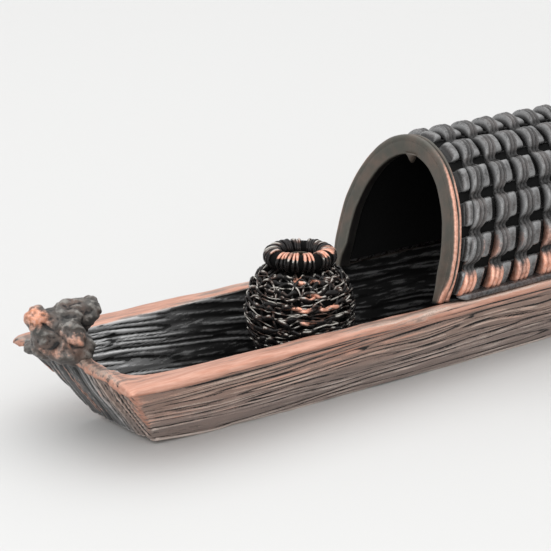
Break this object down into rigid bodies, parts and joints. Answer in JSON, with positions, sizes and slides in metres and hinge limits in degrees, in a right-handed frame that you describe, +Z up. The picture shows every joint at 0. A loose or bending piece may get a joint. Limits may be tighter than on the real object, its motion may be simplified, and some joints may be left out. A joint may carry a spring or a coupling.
{
  "type": "incense burner",
  "caption": "Antique-copper punt with a woven barrel canopy and a woven fish basket whose collar holds an incense stick; ash falls into the open hull.",
  "frame": {"origin": "middle of the whole length and beam, on the surface the hull rests on", "axes": "+X from bow to stern, +Y to port, +Z up"},
  "size_m": [0.2298, 0.037, 0.0419],
  "materials": {
    "hull_metal": "antique copper plate, dark in the grain and rubbed bright on the edges",
    "knot_metal": "antique copper plate, rubbed bright on the lumps",
    "canopy_lining": "blackened copper plate",
    "rim_metal": "grey antique copper plate with a bright outer edge",
    "mat_metal": "grey antique copper plate, rubbed bright on the low strips",
    "basket_metal": "antique copper plate with bright strands",
    "ferrule_brass": "turned brass",
    "dowel_steel": "drawn steel pin"
  },
  "bodies": {
    "hull": {"hull": "hull_metal", "prow_knot": "knot_metal"},
    "canopy": {"canopy_shell": "canopy_lining", "front_rim": "rim_metal", "rear_rim": "rim_metal", "lantern_eyelet": "rim_metal", "foot_rail_port": "mat_metal", "foot_rail_starboard": "mat_metal", "locating_dowels": "dowel_steel", "canopy_hoop_01": "mat_metal", "canopy_hoop_02": "mat_metal", "canopy_hoop_03": "mat_metal", "canopy_hoop_04": "mat_metal", "canopy_hoop_05": "mat_metal", "canopy_hoop_06": "mat_metal", "canopy_hoop_07": "mat_metal", "canopy_hoop_08": "mat_metal", "canopy_hoop_09": "mat_metal", "canopy_hoop_10": "mat_metal", "canopy_hoop_11": "mat_metal", "canopy_hoop_12": "mat_metal", "canopy_strip_01": "mat_metal", "canopy_strip_02": "mat_metal", "canopy_strip_03": "mat_metal", "canopy_strip_04": "mat_metal", "canopy_strip_05": "mat_metal", "canopy_strip_06": "mat_metal", "canopy_strip_07": "mat_metal", "canopy_strip_08": "mat_metal", "canopy_strip_09": "mat_metal", "canopy_strip_10": "mat_metal", "canopy_strip_11": "mat_metal"},
    "basket": {"basket_body": "basket_metal", "basket_collar": "basket_metal", "incense_ferrule": "ferrule_brass", "basket_foot_plug": "basket_metal", "basket_weaver_01": "basket_metal", "basket_weaver_02": "basket_metal", "basket_weaver_03": "basket_metal", "basket_weaver_04": "basket_metal", "basket_weaver_05": "basket_metal", "basket_weaver_06": "basket_metal", "basket_weaver_07": "basket_metal", "basket_weaver_08": "basket_metal"}
  },
  "joints": [
    {"name": "canopy_lift", "type": "slide", "parent": "hull", "child": "canopy", "axis": [0, 0, 1], "range_m": [0, 0.04]},
    {"name": "basket_lift", "type": "slide", "parent": "hull", "child": "basket", "axis": [0, 0, 1], "range_m": [0, 0.05]}
  ]
}
